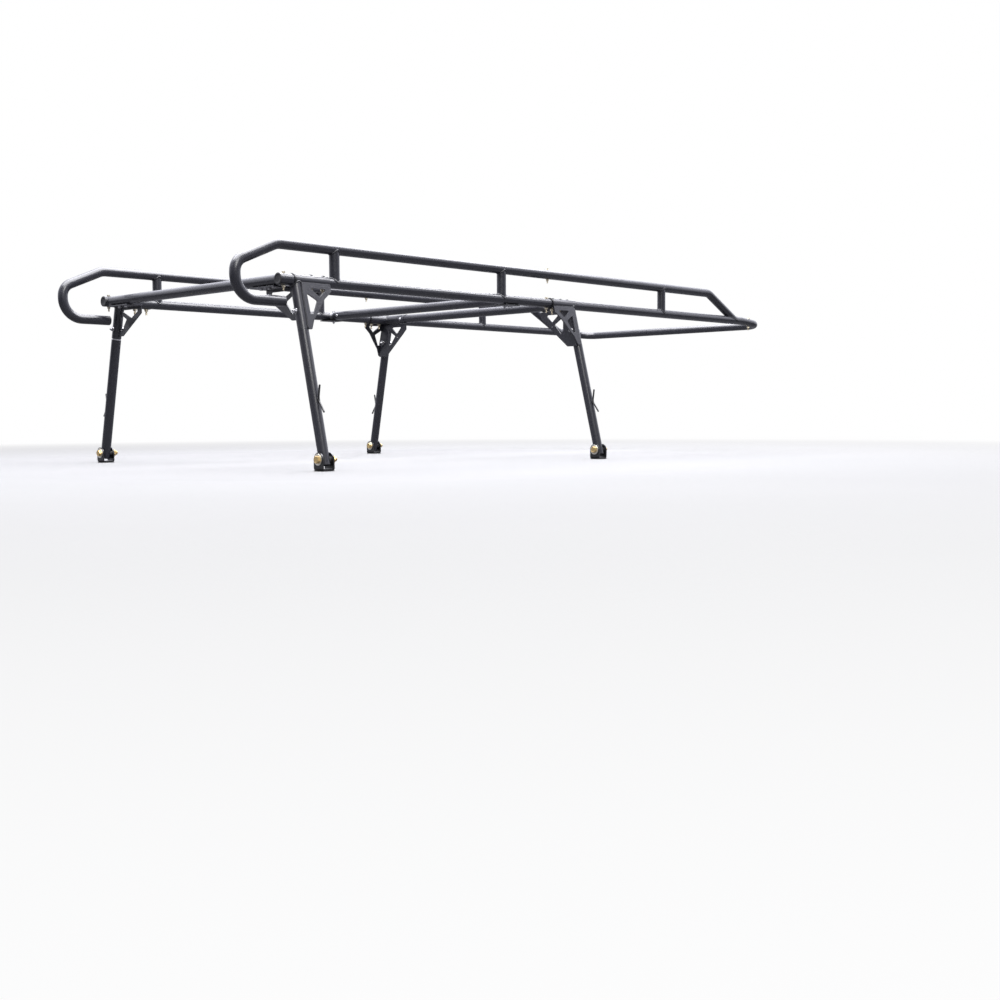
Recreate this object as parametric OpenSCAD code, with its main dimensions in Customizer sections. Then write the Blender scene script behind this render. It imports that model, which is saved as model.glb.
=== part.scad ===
// Over-cab ladder rack for a pickup truck bed.
// X runs across the truck (+X is the passenger side), Y runs forward, Z is up.
// The origin is the centre of the four feet, on the bed-rail plane.

/* [Overall] */
// Half the distance between the centrelines of the two side rails
rail_half = 676; // [600:1:740]
// Half the distance between the pivot bolts of the left and right feet
foot_half = 843; // [800:1:880]
// Distance from rear leg to front leg along the side rail
leg_base = 1700; // [1690:1:1710]
// Distance from the rear feet to the front feet
foot_base = 1718; // [1700:1:1726]
// Height of the lower rail centreline above the bed rail
rail_z = 762; // [700:1:860]
// Height of the upper rail centreline above the lower rail centreline
guard_h = 139; // [125:1:170]
// Distance from the rear legs to the centreline of the front bar
front_reach = 3458; // [3430:1:3520]

/* [Tubes] */
// Outside diameter of the round tube
tube_d = 44.45; // [44:0.05:45]
// Wall thickness of the round tube
tube_t = 2.1; // [1.6:0.1:2.1]
// Outside diameter of the bracket and crossbar sleeves
sleeve_d = 49.6; // [49:0.1:52]
// Outside diameter of the inner joining sleeves
insert_d = 39.9; // [39:0.1:39.9]
// Wall thickness of the inner joining sleeves
insert_t = 2.5; // [2:0.1:4]

/* [Side rails] */
// Distance behind the rear legs of the vertical part of the rear loop
loop_back = 288; // [270:1:320]
// Depth of the rear loop's tail below the lower rail
loop_drop = 88; // [80:1:100]
// Distance of the first post from the rear legs
post_1 = 202; // [195:1:260]
// Distance of the second post from the rear legs
post_2 = 1204; // [1100:1:1210]
// Distance of the third post from the rear legs
post_3 = 2465; // [2300:1:2600]
// Distance of the lower rail joint from the rear legs
seam_lower = 1552; // [1552:1:1556]
// Distance of the upper rail joint from the rear legs
seam_upper = 1584; // [1570:1:1600]
// Distance of the front bar joint from the rear legs
seam_front = 3248; // [3244:1:3252]
// Angle at which the upper rail slopes down at the front
nose_angle = 27; // [26:0.5:28]

/* [Crossbars] */
// Distance of the rear crossbar behind the rear legs
bar_rear = 58; // [56:1:60]
// Distance of the middle crossbar ahead of the rear legs
bar_mid = 1265; // [1262:1:1300]
// Distance of the front crossbar behind the front legs
bar_front = 16; // [14:1:18]

/* [Legs and brackets] */
// Length from the rail centreline to the leg joint, along the leg
stub_len = 206; // [200:1:210]
// The same length at the rear left leg
stub_rl = 172; // [168:1:180]
// Thickness of the gusset plates
gusset_t = 6; // [5:0.5:7]
// Open joint left at the rear left leg
leg_gap_rl = 6; // [1:0.5:8]

/* [Feet] */
// Height of the pivot bolt above the bed rail
pivot_z = 46; // [44:0.5:48]
// Width of a foot bracket across the truck
foot_w = 56; // [54:1:62]
// Length of a foot bracket along the truck
foot_l = 60; // [59:1:68]
// Thickness of the foot bracket plate
foot_t = 6; // [5:0.5:6]
// Thickness of the rubber pad under the foot
pad_t = 3; // [2:0.5:3]
// Diameter of the pivot bolt
pivot_d = 20; // [18:0.5:20]
// Diameter of the bolt hole in a foot
foot_hole_d = 13; // [10:0.5:14]

/* [Hidden] */
$fn = 72;
gap = 0.1;
tr = tube_d / 2;
sr = sleeve_d / 2;
ir = insert_d / 2;
bore_r = tr - tube_t;
y0 = -foot_base / 2;
y1 = y0 + leg_base;
f0 = y0;
f1 = foot_base / 2;
lean = atan((foot_half - rail_half) / (rail_z - pivot_z));
rake = atan((foot_base - leg_base) / (rail_z - pivot_z));
leg_len = (rail_z - pivot_z) / cos(lean);
leg_end = leg_len + 24;
nose_run = guard_h / tan(nose_angle);
nose_hit = seam_front - 65;
droop = 4.3;
bend_r = 92;

// ---------- shared shapes ----------

// Keeps the right-hand part, or mirrors it to the left
module on(left) { if (left) mirror([1, 0, 0]) children(); else children(); }

// Cylinder along +Y from ya to yb
module rod_y(r, ya, yb) { translate([0, ya, 0]) rotate([-90, 0, 0]) cylinder(r = r, h = yb - ya); }

// Cylinder along +X from xa to xb
module rod_x(r, xa, xb) { translate([xa, 0, 0]) rotate([0, 90, 0]) cylinder(r = r, h = xb - xa); }

module tube_y(ro, ri, ya, yb) { difference() { rod_y(ro, ya, yb); rod_y(ri, ya - 1, yb + 1); } }

module ring2d(ro, ri) { difference() { circle(r = ro); circle(r = ri); } }

// A tube that follows straights [0, length] and bends [radius, angle], turning towards local +X.
// The straights reach slightly into the bends, which are a hair thinner.
lap = 0.4;
hair = 0.02;
module bent_tube(path, ro, ri, i = 0) {
  if (i < len(path)) {
    seg = path[i];
    if (seg[0] == 0) {
      a = i > 0 ? lap : 0;
      b = i < len(path) - 1 ? lap : 0;
      translate([0, 0, -a]) linear_extrude(height = seg[1] + a + b) ring2d(ro, ri);
      translate([0, 0, seg[1]]) bent_tube(path, ro, ri, i + 1);
    } else {
      rotate([90, 0, 180]) translate([-seg[0], 0, 0])
        rotate_extrude(angle = seg[1]) translate([seg[0], 0]) ring2d(ro - hair, ri + hair);
      translate([seg[0], 0, 0]) rotate([0, seg[1], 0]) translate([-seg[0], 0, 0])
        bent_tube(path, ro, ri, i + 1);
    }
  }
}

// Corner i of outline p, rounded with radius r in n steps
function unit(v) = v / norm(v);
function corner(p, i, r, n) =
  let (m = len(p), b = p[i], a = p[(i + m - 1) % m], c = p[(i + 1) % m],
       u = unit(a - b), w = unit(c - b), h = acos(u * w) / 2, t = r / tan(h),
       o = b + unit(u + w) * (r / sin(h)), s = b + u * t - o, e = b + w * t - o,
       a0 = atan2(s[1], s[0]), d0 = atan2(e[1], e[0]) - a0, d = d0 > 180 ? d0 - 360 : d0 < -180 ? d0 + 360 : d0)
  [for (k = [0 : n]) o + r * [cos(a0 + d * k / n), sin(a0 + d * k / n)]];
function rounded(p, r, n = 4) = [for (i = [0 : len(p) - 1]) each corner(p, i, r, n)];

// Hex head and shank; the head's under-face is at z = 0 and the shank runs down
module hex_bolt(d, l, af, hh) {
  cylinder(d = af / cos(30), h = hh, $fn = 6);
  translate([0, 0, -l]) cylinder(d = d, h = l + 0.01);
}

// Low round head with a shank that runs down
module dome_bolt(d, l, hd, hh) {
  rotate_extrude() polygon([[0, -l], [d / 2, -l], [d / 2, 0], [hd / 2, 0], [hd / 2, hh * 0.35], [hd * 0.38, hh * 0.75], [hd * 0.2, hh], [0, hh]]);
}

// Washer with a hex nut under it; the washer's top face is at z = 0
module nut_down(d, af, nh, wd, wt) {
  translate([0, 0, -wt]) difference() { cylinder(d = wd, h = wt); translate([0, 0, -1]) cylinder(d = d + 0.4, h = wt + 2); }
  translate([0, 0, -wt - gap - nh]) difference() {
    cylinder(d = af / cos(30), h = nh, $fn = 6);
    translate([0, 0, -1]) cylinder(d = d + 0.3, h = nh + 2);
  }
}

// ---------- side rails ----------

// Plan of the rear loop and upper rail in the (y, z) plane, z from the lower rail
v1 = [-loop_back, -loop_drop];
v2 = [-loop_back, 54];
v3 = [-89, guard_h];
tail_y = -60;
slope_back = atan((v3[1] - v2[1]) / (v3[0] - v2[0]));
t1 = bend_r;
t2 = 62 * tan((90 - slope_back) / 2);
t3 = bend_r * tan(slope_back / 2);

module upper_rail_rear() {
  difference() {
    translate([rail_half, y0 + tail_y, rail_z - loop_drop]) rotate([0, 0, 90]) rotate([0, -90, 0])
      bent_tube([
        [0, tail_y - v1[0] - t1], [bend_r, 90],
        [0, v2[1] - v1[1] - t1 - t2], [62, 90 - slope_back],
        [0, norm(v3 - v2) - t2 - t3], [bend_r, slope_back],
        [0, seam_upper - v3[0] - t3]], tr, bore_r);
    translate([rail_half, y0 + seam_upper - 53, rail_z + guard_h - 40]) cylinder(d = 9, h = 80);
  }
}

module upper_rail_front() {
  tn = bend_r * tan(nose_angle / 2);
  difference() {
    translate([rail_half, y0 + seam_upper + 0.6, rail_z + guard_h]) rotate([0, 0, 90]) rotate([0, 90, 0])
      bent_tube([
        [0, nose_hit - nose_run - tn - seam_upper - 0.6], [bend_r, nose_angle],
        [0, norm([guard_h, nose_run]) - tn - 10]], tr, bore_r);
    translate([rail_half, 0, rail_z]) rod_y(tr + gap, y0 + nose_hit - 300, y0 + nose_hit + 200);
    translate([rail_half, y0 + nose_hit - 250, rail_z - 60]) translate([-50, 0, 0]) cube([100, 500, 60]);
  }
}

module lower_rail_rear() {
  translate([rail_half, y0, rail_z]) difference() {
    tube_y(tr, bore_r, -12, seam_lower);
    for (y = [78, 140]) translate([0, y, -40]) cylinder(d = 11, h = 80);
    translate([0, seam_lower - 29, -40]) cylinder(d = 9, h = 80);
  }
}

module lower_rail_front() {
  translate([rail_half, y0, rail_z]) difference() {
    tube_y(tr, bore_r, seam_lower + 0.6, seam_front);
    for (y = [leg_base - 78, leg_base - 134]) translate([0, y, -40]) cylinder(d = 11, h = 80);
  }
}

module rail_post(y) {
  translate([rail_half, y0 + y, rail_z]) difference() {
    cylinder(r = tr - 0.25, h = guard_h);
    translate([0, 0, -1]) cylinder(r = bore_r, h = guard_h + 2);
    rod_y(tr + gap, -60, 60);
    translate([0, 0, guard_h]) rod_y(tr + gap, -60, 60);
  }
}
module rail_posts() { for (y = [post_1, post_2, post_3]) rail_post(y); }

// Straight inner sleeve across a rail joint, drilled for its vertical bolt
module insert_y(ya, yb, yh) {
  difference() {
    tube_y(ir, ir - insert_t, ya, yb);
    for (y = yh) translate([0, y, -30]) cylinder(d = 9, h = 60);
  }
}

module joining_sleeves() {
  translate([rail_half, y0, rail_z]) insert_y(-78, 62, [-bar_rear]);
  translate([rail_half, y0, rail_z]) insert_y(seam_lower - 75, seam_lower + 10 - 2, [seam_lower - 29]);
  translate([rail_half, y0, rail_z + guard_h]) insert_y(seam_upper - 95, seam_upper + 75, [seam_upper - 53]);
  translate([rail_half, y0 + seam_front, rail_z]) {
    insert_y(-80, -2, []);
    rotate([-droop, 0, 0]) insert_y(2, 98, [84]);
  }
  translate([rail_half, y0 + bar_mid, rail_z]) difference() {
    rod_x(ir, -110, -tr - 0.6);
    rod_x(ir - insert_t, -111, 0);
    rod_y(tr + gap, -60, 60);
    translate([-37, 0, -30]) cylinder(d = 9, h = 60);
    translate([-90, 0, 0]) rod_y(4.5, -40, 40);
  }
}

// ---------- bars across the truck ----------

front_arm = 102;
front_r = 100;
module front_bar_shape() {
  run = front_reach - seam_front;
  difference() {
    translate([rail_half, y0 + seam_front + 0.6, rail_z]) rotate([-droop, 0, 0]) translate([0, -4, 0]) rotate([0, 0, 180]) rotate([90, 0, 0])
      bent_tube([
        [0, run / cos(droop) - front_r + 4], [front_r, 90],
        [0, 2 * (rail_half - front_r)], [front_r, 90],
        [0, run / cos(droop) - front_r + 4]], tr, bore_r);
    for (s = [-1, 1]) translate([s * rail_half - 40, y0 + seam_front - 39.4, rail_z - 40]) cube([80, 40, 80]);
    for (s = [-1, 1]) translate([s * rail_half, y0 + seam_front, rail_z]) rotate([-droop, 0, 0])
      translate([0, 84, -40]) cylinder(d = 9, h = 80);
  }
}

module rear_crossbar_shape() {
  difference() {
    union() {
      for (s = [-1, 1]) translate([s * rail_half, y0, rail_z]) rod_y(sr - 0.7, -84, -20);
      translate([0, y0 - bar_rear, rail_z]) rod_x(tr, -rail_half, rail_half);
    }
    for (s = [-1, 1]) translate([s * rail_half, y0, rail_z]) {
      rod_y(ir + 0.15, -90, 0);
      translate([0, -bar_rear, -40]) cylinder(d = 9, h = 80);
      for (x = [95, 150]) translate([-s * x, -bar_rear, -40]) cylinder(d = 8.6, h = 40);
    }
    translate([0, y0 - bar_rear, rail_z]) rod_x(bore_r, -rail_half + sr + 2, rail_half - sr - 2);
  }
}

module middle_crossbar_shape() {
  translate([0, y0 + bar_mid, rail_z]) difference() {
    rod_x(tr, -rail_half + 52, rail_half - 52);
    rod_x(bore_r, -rail_half, rail_half);
    for (s = [-1, 1]) translate([s * (rail_half - 90), 0, 0]) rod_y(4.5, -40, 40);
  }
}

module front_crossbar_shape() {
  translate([0, y1 - bar_front, rail_z]) difference() {
    rod_x(tr, -rail_half + 32, rail_half - 32);
    rod_x(bore_r, -rail_half, rail_half);
    for (s = [-1, 1]) translate([s * (rail_half - 135), 0, 0]) rod_y(4.5, -40, 40);
  }
}

// Plate under each side rail that carries an end of the middle crossbar
module middle_bar_plate_pair() {
  for (s = [-1, 1]) translate([s * rail_half, y0 + bar_mid, rail_z - tr - gap - 5]) difference() {
    translate([s > 0 ? -56 : -18, -48, 0]) cube([74, 96, 5]);
    translate([-s * 37, 0, -1]) cylinder(d = 9, h = 7);
  }
}

// ---------- leg brackets ----------

// Frame of a leg: origin on the rail centreline, -Z runs down the leg, +X is outboard
module leg_frame(y) { translate([rail_half, y, rail_z]) rotate([y > 0 ? rake : 0, 0, 0]) rotate([0, -lean, 0]) children(); }

// Saddle sleeve on the lower rail with the stub that the leg plugs onto
module leg_bracket(y, ya, yb, arm, stub = stub_len) {
  difference() {
    union() {
      translate([rail_half, y, rail_z]) rod_y(sr, ya, yb);
      leg_frame(y) translate([0, 0, -stub]) cylinder(r = tr, h = stub);
      if (arm) translate([rail_half, y - bar_front, rail_z]) rod_x(sr, -165, 0);
    }
    translate([rail_half, y, rail_z]) rod_y(tr + 0.15, ya - 1, yb + 1);
    leg_frame(y) translate([0, 0, -stub - 1]) cylinder(r = bore_r, h = stub - sr - 4);
    if (!arm) translate([rail_half, y, rail_z]) rod_y(27.2, ya - 60, ya - 0.1);
    if (arm) translate([rail_half, y - bar_front, rail_z]) {
      rod_x(tr + 0.15, -166, -sr - 2);
      translate([-135, 0, 0]) rod_y(4.5, -40, 40);
    }
    translate([rail_half, y, rail_z]) for (h = (ya + yb > 0 ? [78, 140] : [-78, -134])) translate([0, h, -40]) cylinder(d = 11, h = 80);
    leg_frame(y) translate([0, 0, -128]) rod_y(5.2, -40, 40);
  }
}

// Side gusset in its own plane: x away from the leg, y up, with its two openings
module gusset_2d() {
  difference() {
    polygon(rounded([[8, 0], [154, 0], [154, -32], [113, -66], [80, -109], [44, -153], [26, -194], [8, -194]], 4));
    polygon(rounded([[44, -22], [129, -22], [92, -58]], 4));
    polygon(rounded([[27, -45], [75, -73], [44, -133], [30, -133]], 4));
  }
}

// Plate on the outboard face of the leg and saddle; dir is +1 forward or -1 rearward
module side_gusset(y, dir) {
  difference() {
    leg_frame(y) translate([20.6, 0, -15]) mirror([0, dir < 0 ? 1 : 0, 0])
      rotate([90, 0, 90]) linear_extrude(height = gusset_t) gusset_2d();
    leg_frame(y) translate([0, 0, -stub_len - 12]) cylinder(r = tr + gap, h = stub_len + 12);
    translate([rail_half, y, rail_z]) rod_y(sr + gap, -300, 300);
    if (dir < 0) translate([rail_half, y, rail_z]) rod_y(27.3, -170, -148);
  }
}

// Plates under the crossbars, in the plane across the truck: x runs inboard from the rail
// centreline and the extrusion runs rearward from y = 0.
module bar_plate(outline, holes) {
  mirror([1, 0, 0]) rotate([90, 0, 0]) linear_extrude(height = gusset_t) difference() {
    polygon(rounded(outline, 4));
    for (h = holes) polygon(rounded(h, 4));
    children();
  }
}

// Rear plate stands in the middle of the leg and has a flange that reaches back under the crossbar
module bar_gusset_rear() {
  top = -tr - gap;
  tip = -160;
  difference() {
    union() {
      translate([rail_half, y0 + gusset_t / 2, rail_z])
        bar_plate([[tip * tan(lean), tip], [top * tan(lean), top - 0.01], [190, top - 0.01], [190, -60], [150, -84], [91, -119], [22, tip]],
          [[[30, -39], [30, -48], [104, -80], [162, -50], [156, -39]], [[8, -55], [63, -83], [20, -134], [8, -134]]]);
      translate([rail_half - 196, y0 - bar_rear - 22, rail_z + top - 6]) cube([160, bar_rear + 22 + gusset_t / 2, 6]);
    }
    leg_frame(y0) translate([0, 0, -stub_len - 40]) cylinder(r = tr + gap, h = stub_len + 40);
    translate([rail_half, y0, rail_z]) rod_y(sr + gap, -300, 300);
    translate([rail_half, y0 - bar_rear, rail_z]) for (x = [95, 150]) translate([-x, 0, -40]) cylinder(d = 8.6, h = 40);
  }
}

// Front plate lies against the rear face of the leg and is held by the leg bolt
module bar_gusset_front() {
  top = -sr - 0.9;
  tip = -204;
  side = 17;
  translate([rail_half, y1, rail_z]) rotate([rake, 0, 0]) translate([0, -tr - gap, 0])
    bar_plate([[tip * tan(lean) - side, tip], [top * tan(lean) - side, top], [170, top], [170, -58], [141, -84], [-3, tip]],
      [[[50, -43], [134, -43], [94, -80]], [[22, -57], [80, -92], [40, -139], [24, -139]]]) {
      translate([95, -99]) circle(d = 8);
      translate([-128 * sin(lean), -128 * cos(lean)]) circle(d = 11);
    }
}

// ---------- legs ----------

module leg(y, fy, open, stub = stub_len) {
  difference() {
    leg_frame(y) translate([0, 0, -leg_end]) cylinder(r = tr, h = leg_end - stub - open);
    leg_frame(y) translate([0, 0, -leg_end - 1]) cylinder(r = bore_r, h = leg_end);
    translate([foot_half, fy, pivot_z]) rod_y(13.6, -40, 40);
  }
}

module leg_sleeve_set() {
  for (s = [0, 1], f = [0, 1]) on(s == 1) leg_frame(f == 1 ? y1 : y0) {
    stub = s == 1 && f == 0 ? stub_rl : stub_len;
    difference() {
      translate([0, 0, -stub - 70]) cylinder(r = ir, h = 70 + stub - 105);
      translate([0, 0, -stub - 71]) cylinder(r = ir - insert_t, h = 72 + stub - 105);
      translate([0, 0, -128]) rod_y(5.2, -40, 40);
    }
  }
}

// Cross bolt through bracket stub and sleeve, nut to the rear; extra is what else it clamps
module leg_bolt(y, extra) {
  leg_frame(y) translate([0, 0, -128]) rotate([0, 0, 180]) {
    translate([0, -tr - 2.2, 0]) rotate([90, 0, 0]) hex_bolt(10, 63 + extra, 17, 6.4);
    translate([0, -tr - gap, 0]) rotate([90, 0, 0]) difference() { cylinder(d = 22, h = 2); translate([0, 0, -1]) cylinder(d = 10.4, h = 4); }
    translate([0, tr + gap + extra, 0]) rotate([90, 0, 0]) nut_down(10, 17, 8, 22, 2);
  }
}
module leg_bolt_set() { for (s = [0, 1], f = [0, 1]) on(s == 1) leg_bolt(f == 1 ? y1 : y0, f == 1 ? gusset_t + gap : 0); }

module leg_pivot_bush_set() {
  for (s = [0, 1], f = [f0, f1]) on(s == 1) translate([foot_half, f, pivot_z])
    tube_y(13.5, pivot_d / 2 + 0.08, -foot_l / 2 + foot_t + 0.5, foot_l / 2 - foot_t - 0.5);
}

// Bent rod on the outboard face of each leg that a rope is tied to
module rope_cleat(y, z) {
  s = (rail_z - z) / cos(lean);
  ang = 22;
  r = 26;
  leg_frame(y) translate([tr + gap + 4, 0, -s]) {
    translate([r, 0, 0]) rotate([90, 0, 0]) rotate([0, 0, 180 - ang]) rotate_extrude(angle = 2 * ang, $fn = 36)
      translate([r, 0]) circle(r = 3.97, $fn = 36);
    for (m = [-1, 1]) translate([r, 0, 0]) rotate([0, m * ang, 0]) translate([-r, 0, 0]) rotate([m > 0 ? 0 : 180, 0, 0])
      translate([0, 0, -0.4]) { cylinder(r = 4, h = 48, $fn = 36); translate([0, 0, 48]) sphere(r = 3.95, $fn = 24); }
  }
}
module rope_cleat_set() {
  for (s = [0, 1]) on(s == 1) { rope_cleat(y0, s == 1 ? 268 : 277); rope_cleat(y1, 277); }
}

// Rings at the joints beside each bracket
module seam_ring_set() {
  for (s = [0, 1]) on(s == 1) translate([rail_half, y0, rail_z]) {
    difference() { rod_y(27, -19.8, -12.2); rod_y(ir + gap, -30, 0); }
    difference() { rod_y(27, seam_lower - 8, seam_lower - 0.4); rod_y(tr + gap, seam_lower - 20, seam_lower + 10); }
  }
}

// Plug with a rim that closes an open tube end; the tube runs along +Y
module end_cap(ro, ri) { rod_y(ro, -3, -gap); rod_y(ri - gap, -gap - 0.05, 14); }
module tube_end_cap_set() {
  for (s = [0, 1]) on(s == 1) {
    translate([rail_half, y0 + tail_y, rail_z - loop_drop]) mirror([0, 1, 0]) end_cap(tr, bore_r);
    translate([rail_half, y0 - 84, rail_z]) difference() {
      union() { rod_y(sr - 0.7, -3, -gap); rod_y(ir, -gap - 0.05, 5.8); }
      rod_y(10, 1, 10);
    }
  }
}

// ---------- fasteners ----------

module bolt_pair(top, bottom, l) {
  translate([0, 0, top]) dome_bolt(10, l, 20, 3.2);
  translate([0, 0, -bottom]) nut_down(10, 17, 8, 22, 2);
}
module saddle_bolt_set() {
  for (s = [0, 1]) on(s == 1) for (y = [y0 + 78, y0 + 140, y1 - 78, y1 - 134])
    translate([rail_half, y, rail_z]) bolt_pair(sr + gap, sr + gap, 78);
}
module hex_pair(r, l) {
  translate([0, 0, r + gap + 1.8]) hex_bolt(8, l, 13, 5.3);
  translate([0, 0, r + gap]) difference() { cylinder(d = 17, h = 1.6); translate([0, 0, -1]) cylinder(d = 8.4, h = 4); }
  translate([0, 0, -r - gap]) nut_down(8, 13, 6.8, 17, 1.6);
}
module splice_bolt_set() {
  for (s = [0, 1]) on(s == 1) {
    translate([rail_half, y0 - bar_rear, rail_z]) hex_pair(sr - 0.7, 72);
    translate([rail_half, y0 + seam_lower - 29, rail_z]) hex_pair(tr, 70);
    translate([rail_half, y0 + seam_upper - 53, rail_z + guard_h]) hex_pair(tr, 66);
    translate([rail_half, y0 + seam_front, rail_z]) rotate([-droop, 0, 0]) translate([0, 84, 0]) hex_pair(tr, 68);
  }
}
module crossbar_bolt_set() {
  for (s = [0, 1]) on(s == 1) {
    translate([rail_half - 37, y0 + bar_mid, rail_z]) {
      translate([0, 0, ir + gap + 1.8]) hex_bolt(8, 64, 13, 5.3);
      translate([0, 0, ir + gap]) difference() { cylinder(d = 17, h = 1.6); translate([0, 0, -1]) cylinder(d = 8.4, h = 4); }
      translate([0, 0, -tr - 5 - 2 * gap]) nut_down(8, 13, 6.8, 17, 1.6);
    }
    translate([rail_half - 90, y0 + bar_mid, rail_z]) rotate([90, 0, 0]) {
      translate([0, 0, tr + gap]) dome_bolt(8, 62, 16, 3.6);
      translate([0, 0, -tr - gap]) nut_down(8, 13, 6.8, 17, 1.6);
    }
    translate([rail_half - 135, y1 - bar_front, rail_z]) rotate([90, 0, 0]) {
      translate([0, 0, sr + gap]) dome_bolt(8, 68, 16, 3.6);
      translate([0, 0, -sr - gap]) nut_down(8, 13, 6.8, 17, 1.6);
    }
    for (x = [95, 150]) translate([rail_half - x, y0 - bar_rear, rail_z - tr - 6 - 2 * gap]) rotate([180, 0, 0])
      hex_bolt(8, 18, 13, 5.3);
  }
}

// ---------- feet ----------

module foot_at(y) { translate([foot_half, y, 0]) children(); }

module foot() {
  h = pivot_z + foot_w / 2;
  difference() {
    intersection() {
      translate([-foot_w / 2, 0, pad_t]) rotate([90, 0, 90]) linear_extrude(height = foot_w) difference() {
        polygon(rounded([[-foot_l / 2, 0], [foot_l / 2, 0], [foot_l / 2, h + 20], [-foot_l / 2, h + 20]], 8, 6));
        polygon(rounded([[-foot_l / 2 + foot_t, foot_t], [foot_l / 2 - foot_t, foot_t], [foot_l / 2 - foot_t, h + 40], [-foot_l / 2 + foot_t, h + 40]], 2.5, 5));
      }
      union() {
        translate([0, 0, pivot_z]) rod_y(foot_w / 2, -foot_l, foot_l);
        translate([-foot_w / 2, -foot_l, pad_t - 1]) cube([foot_w, 2 * foot_l, pivot_z - pad_t + 1]);
      }
    }
    translate([0, 0, pivot_z]) rod_y(pivot_d / 2 + 0.4, -foot_l, foot_l);
    cylinder(d = foot_hole_d, h = 20);
  }
}

module foot_pad() {
  difference() {
    linear_extrude(height = pad_t - 0.05)
      polygon(rounded([[-foot_w / 2 - 2, -foot_l / 2 + 1], [foot_w / 2 + 2, -foot_l / 2 + 1], [foot_w / 2 + 2, foot_l / 2 - 1], [-foot_w / 2 - 2, foot_l / 2 - 1]], 5, 5));
    translate([0, 0, -1]) cylinder(d = foot_hole_d, h = 20);
  }
}

module pivot_bolt() {
  translate([0, -foot_l / 2 - 3.3, pivot_z]) rotate([90, 0, 0]) hex_bolt(pivot_d, foot_l + 32, 28, 9);
}

module pivot_nut() {
  translate([0, 0, pivot_z]) {
    tube_y(23.5, pivot_d / 2 + 0.3, -foot_l / 2 - 3.2, -foot_l / 2 - gap);
    tube_y(23.5, pivot_d / 2 + 0.3, foot_l / 2 + gap, foot_l / 2 + 3.2);
    translate([0, foot_l / 2 + 3.3 + 15, 0]) rotate([90, 0, 0]) difference() {
      cylinder(d = 28 / cos(30), h = 15, $fn = 6);
      translate([0, 0, -1]) cylinder(d = pivot_d + 0.3, h = 18);
    }
  }
}

coat = [0.24, 0.24, 0.27];
black = [0.05, 0.05, 0.055];
gold = [0.80, 0.62, 0.30];
zinc = [0.75, 0.75, 0.74];

// ---------- one module per part ----------

module upper_rail_rear_right() { color(coat) upper_rail_rear(); }
module upper_rail_rear_left() { color(coat) on(true) upper_rail_rear(); }
module upper_rail_front_right() { color(coat) upper_rail_front(); }
module upper_rail_front_left() { color(coat) on(true) upper_rail_front(); }
module lower_rail_rear_right() { color(coat) lower_rail_rear(); }
module lower_rail_rear_left() { color(coat) on(true) lower_rail_rear(); }
module lower_rail_front_right() { color(coat) lower_rail_front(); }
module lower_rail_front_left() { color(coat) on(true) lower_rail_front(); }
module rail_posts_right() { color(coat) rail_posts(); }
module rail_posts_left() { color(coat) on(true) rail_posts(); }
module joining_sleeves_right() { color(zinc) joining_sleeves(); }
module joining_sleeves_left() { color(zinc) on(true) joining_sleeves(); }
module front_bar() { color(coat) front_bar_shape(); }
module rear_crossbar() { color(coat) rear_crossbar_shape(); }
module middle_crossbar() { color(coat) middle_crossbar_shape(); }
module front_crossbar() { color(coat) front_crossbar_shape(); }
module middle_bar_plates() { color(black) middle_bar_plate_pair(); }
module bracket_rear_right() { color(coat) leg_bracket(y0, -12, 160, false); }
module bracket_rear_left() { color(coat) on(true) leg_bracket(y0, -12, 160, false, stub_rl); }
module bracket_front_right() { color(coat) leg_bracket(y1, -147.5, 28, true); }
module bracket_front_left() { color(coat) on(true) leg_bracket(y1, -147.5, 28, true); }
module side_gusset_rear_right() { color(coat) side_gusset(y0, 1); }
module side_gusset_front_right() { color(coat) side_gusset(y1, -1); }
module side_gusset_front_left() { color(coat) on(true) side_gusset(y1, -1); }
module bar_gusset_rear_right() { color(coat) bar_gusset_rear(); }
module bar_gusset_rear_left() { color(coat) on(true) bar_gusset_rear(); }
module bar_gusset_front_right() { color(coat) bar_gusset_front(); }
module bar_gusset_front_left() { color(coat) on(true) bar_gusset_front(); }
module leg_rear_right() { color(coat) leg(y0, f0, 1); }
module leg_rear_left() { color(coat) on(true) leg(y0, f0, leg_gap_rl, stub_rl); }
module leg_front_right() { color(coat) leg(y1, f1, 1); }
module leg_front_left() { color(coat) on(true) leg(y1, f1, 1); }
module leg_sleeves() { color(zinc) leg_sleeve_set(); }
module leg_bolts() { color(zinc) leg_bolt_set(); }
module leg_pivot_bushes() { color(zinc) leg_pivot_bush_set(); }
module rope_cleats() { color(black) rope_cleat_set(); }
module seam_rings() { color(black) seam_ring_set(); }
module tube_end_caps() { color(black) tube_end_cap_set(); }
module saddle_bolts() { color(gold) saddle_bolt_set(); }
module splice_bolts() { color(gold) splice_bolt_set(); }
module crossbar_bolts() { color(zinc) crossbar_bolt_set(); }
module foot_rear_right() { color(black) foot_at(f0) foot(); }
module foot_rear_left() { color(black) on(true) foot_at(f0) foot(); }
module foot_front_right() { color(black) foot_at(f1) foot(); }
module foot_front_left() { color(black) on(true) foot_at(f1) foot(); }
module foot_pad_rear_right() { color(black) foot_at(f0) foot_pad(); }
module foot_pad_rear_left() { color(black) on(true) foot_at(f0) foot_pad(); }
module foot_pad_front_right() { color(black) foot_at(f1) foot_pad(); }
module foot_pad_front_left() { color(black) on(true) foot_at(f1) foot_pad(); }
module pivot_bolt_rear_right() { color(gold) foot_at(f0) pivot_bolt(); }
module pivot_bolt_rear_left() { color(gold) on(true) foot_at(f0) pivot_bolt(); }
module pivot_bolt_front_right() { color(gold) foot_at(f1) pivot_bolt(); }
module pivot_bolt_front_left() { color(gold) on(true) foot_at(f1) pivot_bolt(); }
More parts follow.
